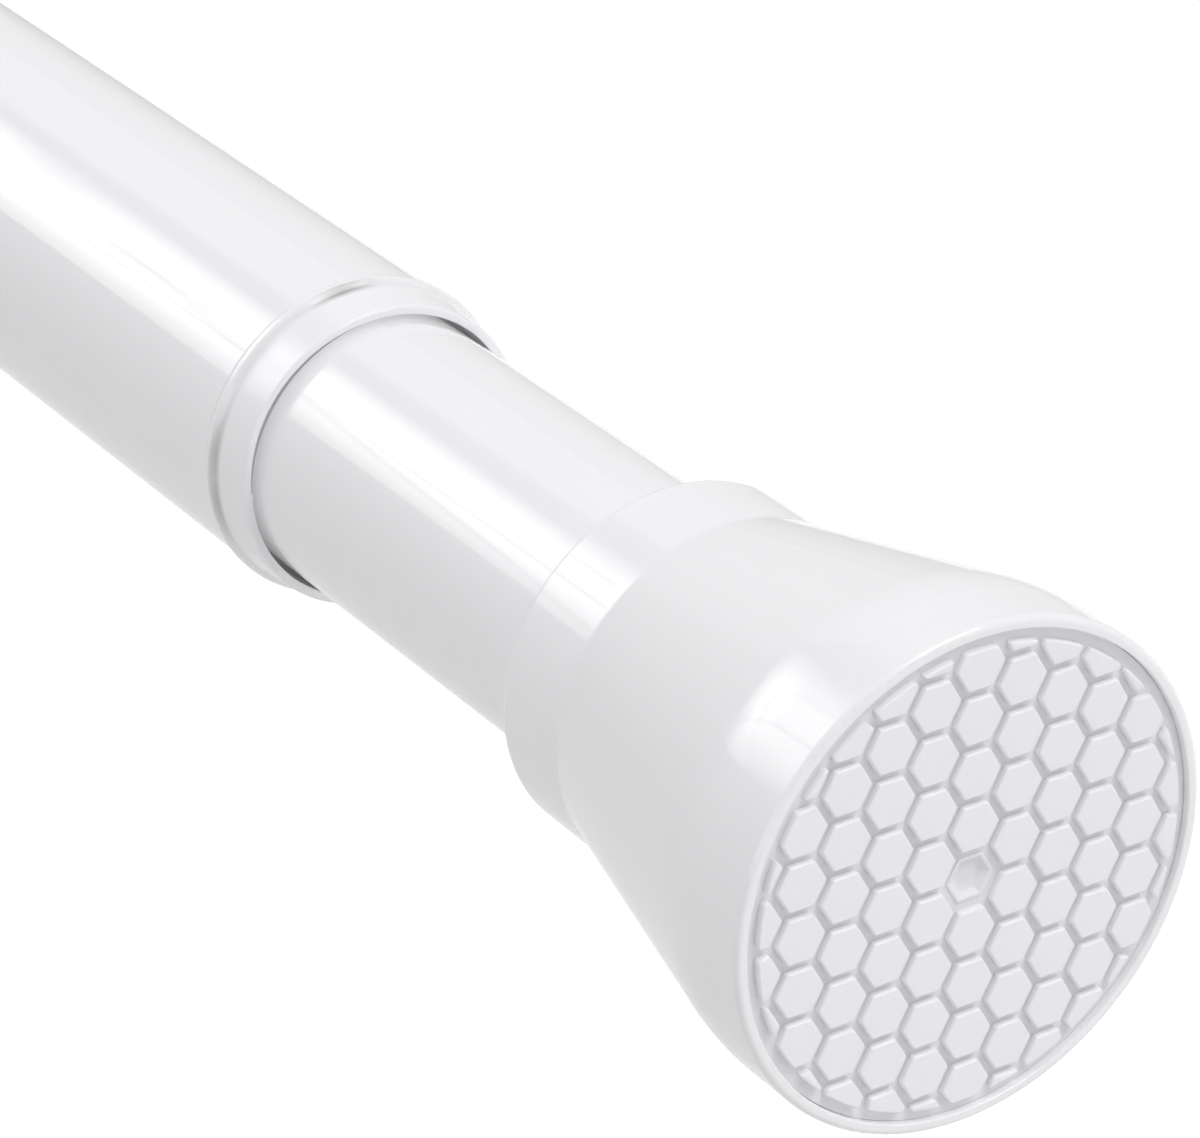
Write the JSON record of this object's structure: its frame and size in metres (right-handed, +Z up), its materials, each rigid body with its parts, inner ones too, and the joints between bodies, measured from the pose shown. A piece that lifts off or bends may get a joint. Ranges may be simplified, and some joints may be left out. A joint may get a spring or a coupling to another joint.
{
  "type": "spring tension rod",
  "caption": "Telescoping tension rod with a twist lock, an inner spring and bell shaped feet with honeycomb grip pads.",
  "frame": {"origin": "middle of the fixed foot's wall face", "axes": "+X along the rod from the fixed foot to the sliding foot, +Z up"},
  "size_m": [0.4394, 0.0374, 0.0374],
  "materials": {
    "tube_paint": "gloss white enamel",
    "cap_plastic": "smooth moulded",
    "clear_plastic": "clear moulded",
    "pad_rubber": "satin, soft",
    "nylon": "natural, satin",
    "black_rubber": "satin",
    "steel": "zinc plated"
  },
  "bodies": {
    "outer": {"outer_tube": "tube_paint", "clear_collar": "clear_plastic", "fixed_end_cap": "cap_plastic", "fixed_end_pad": "pad_rubber"},
    "lock": {"lock_sleeve": "nylon", "brake_ring": "black_rubber"},
    "nut": {"wedge_nut": "nylon"},
    "spindle": {"spindle": "steel", "tail_clip": "steel", "hub_clip": "steel", "spring_seat": "steel", "seat_clip": "steel"},
    "inner": {"inner_tube": "tube_paint", "guide_bush": "nylon", "stop_plug": "nylon", "sliding_end_cap": "cap_plastic", "sliding_end_pad": "pad_rubber", "spring": "steel"}
  },
  "joints": [
    {"name": "telescope", "type": "slide", "parent": "outer", "child": "lock", "axis": [1, 0, 0], "range_m": [-0.015, 0.167]},
    {"name": "twist", "type": "hinge", "parent": "lock", "child": "spindle", "pos_m": [0.07, 0, 0], "axis": [1, 0, 0], "range_deg": [0, 540]},
    {"name": "wedge_draw", "type": "slide", "parent": "lock", "child": "nut", "axis": [1, 0, 0], "range_m": [-0.0031, 0]},
    {"name": "spring_travel", "type": "slide", "parent": "spindle", "child": "inner", "axis": [-1, 0, 0], "range_m": [0, 0.02], "stiffness_N_per_m": 1500, "springref_m": -0.015, "deforming": ["spring"]}
  ],
  "couplings": [
    {"joint": "wedge_draw", "follows": "twist", "m_per_rad": -0.00031831}
  ]
}
